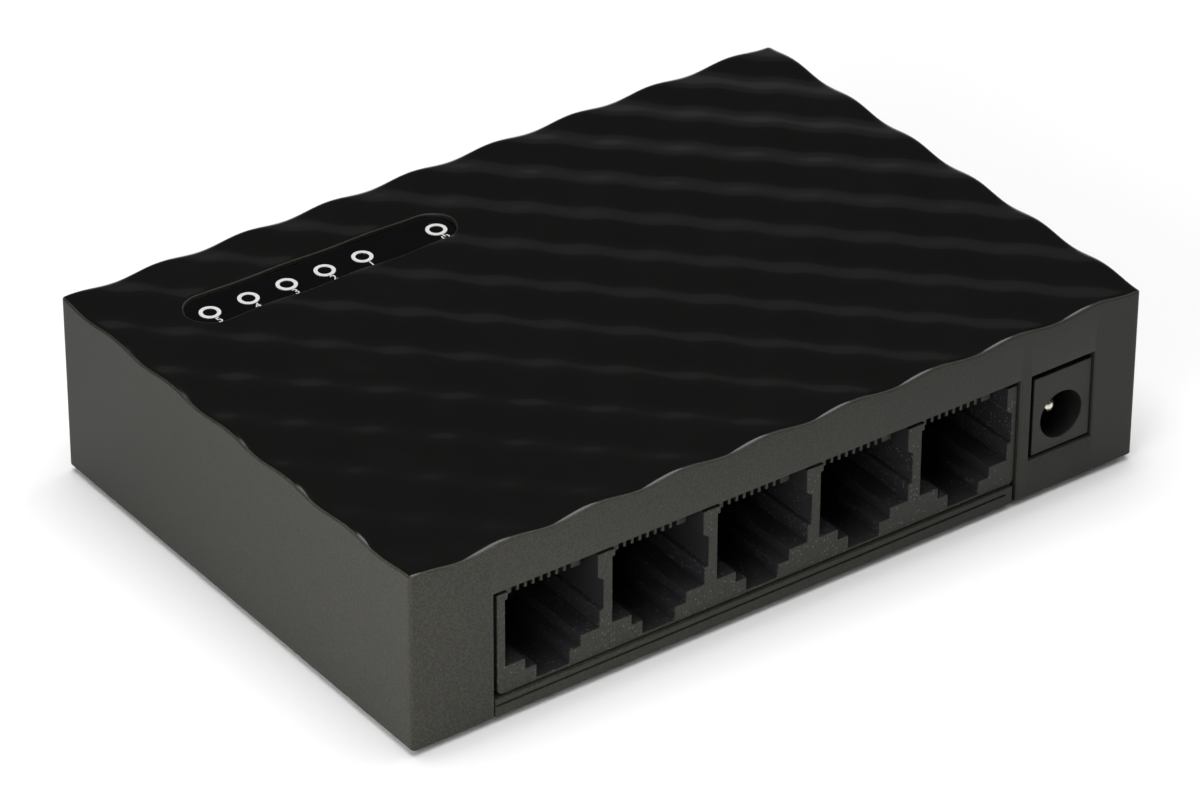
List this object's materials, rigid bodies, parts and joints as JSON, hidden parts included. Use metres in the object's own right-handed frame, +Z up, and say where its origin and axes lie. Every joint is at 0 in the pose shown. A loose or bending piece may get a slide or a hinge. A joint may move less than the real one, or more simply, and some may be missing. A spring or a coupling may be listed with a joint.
{
  "type": "desktop network switch",
  "caption": "Small desktop network switch: waved gloss top, a row of modular network sockets and a barrel power inlet on one side, and a strip of indicator lamps.",
  "frame": {"origin": "under the middle of the case, on the surface that the feet stand on", "axes": "+X along the socket side towards the power inlet, +Y from the socket side to the plain side, +Z up"},
  "size_m": [0.0986, 0.0682, 0.023],
  "materials": {
    "cover": "moulded charcoal plastic: fine matt texture on the walls, polished gloss on the waved top",
    "base": "moulded charcoal plastic, fine matt texture",
    "rubber": "matt black rubber",
    "screw": "zinc-plated steel",
    "board": "green solder mask over glass-epoxy laminate",
    "jack": "satin black moulded plastic",
    "carrier": "black moulded plastic",
    "contact": "thin gold plating on phosphor bronze",
    "inlet": "satin black moulded plastic",
    "pin": "nickel-plated brass",
    "leaf": "nickel-plated spring strip",
    "tinned": "tin-plated copper",
    "film": "dark translucent printed film",
    "print": "white screen print",
    "lamp": "clear resin lamp body",
    "chip": "black moulding compound",
    "module": "black moulded case",
    "can": "nickel-silver can",
    "ferrite": "dark grey ferrite",
    "capacitor": "dark sleeve with aluminium can top",
    "passive": "ceramic chips"
  },
  "bodies": {
    "case": {"base_plate": "base", "base_screws": "screw", "board_screws": "screw", "chip_passives": "passive", "circuit_board": "board", "crystal": "can", "electrolytic_capacitors": "capacitor", "indicator_label": "film", "indicator_lamps": "lamp", "indicator_rings": "print", "input_diode": "chip", "jack_housing": "jack", "memory_chip": "chip", "port_1_carrier": "carrier", "port_1_leads": "contact", "port_2_carrier": "carrier", "port_2_leads": "contact", "port_3_carrier": "carrier", "port_3_leads": "contact", "port_4_carrier": "carrier", "port_4_leads": "contact", "port_5_carrier": "carrier", "port_5_leads": "contact", "power_inductor": "ferrite", "power_jack_body": "inlet", "power_jack_pin": "pin", "power_jack_terminals": "tinned", "regulator_chip": "chip", "rubber_feet": "rubber", "switch_chip": "chip", "switch_chip_leads": "tinned", "top_cover": "cover", "transformer_modules": "module"},
    "socket_1_springs": {"port_1_contacts": "contact"},
    "socket_2_springs": {"port_2_contacts": "contact"},
    "socket_3_springs": {"port_3_contacts": "contact"},
    "socket_4_springs": {"port_4_contacts": "contact"},
    "socket_5_springs": {"port_5_contacts": "contact"},
    "inlet_spring": {"power_jack_spring": "leaf"}
  },
  "joints": [
    {"name": "socket_1_springs_flex", "type": "hinge", "parent": "case", "child": "socket_1_springs", "pos_m": [-0.0309, -0.03075, 0.01518], "axis": [1, 0, 0], "range_deg": [0, 9], "stiffness_Nm_per_rad": 0.19},
    {"name": "socket_2_springs_flex", "type": "hinge", "parent": "case", "child": "socket_2_springs", "pos_m": [-0.01693, -0.03075, 0.01518], "axis": [1, 0, 0], "range_deg": [0, 9], "stiffness_Nm_per_rad": 0.19},
    {"name": "socket_3_springs_flex", "type": "hinge", "parent": "case", "child": "socket_3_springs", "pos_m": [-0.00296, -0.03075, 0.01518], "axis": [1, 0, 0], "range_deg": [0, 9], "stiffness_Nm_per_rad": 0.19},
    {"name": "socket_4_springs_flex", "type": "hinge", "parent": "case", "child": "socket_4_springs", "pos_m": [0.01101, -0.03075, 0.01518], "axis": [1, 0, 0], "range_deg": [0, 9], "stiffness_Nm_per_rad": 0.19},
    {"name": "socket_5_springs_flex", "type": "hinge", "parent": "case", "child": "socket_5_springs", "pos_m": [0.02498, -0.03075, 0.01518], "axis": [1, 0, 0], "range_deg": [0, 9], "stiffness_Nm_per_rad": 0.19},
    {"name": "inlet_spring_flex", "type": "hinge", "parent": "case", "child": "inlet_spring", "pos_m": [0.0387, -0.0214, 0.01415], "axis": [-1, 0, 0], "range_deg": [0, 4], "stiffness_Nm_per_rad": 0.2}
  ]
}
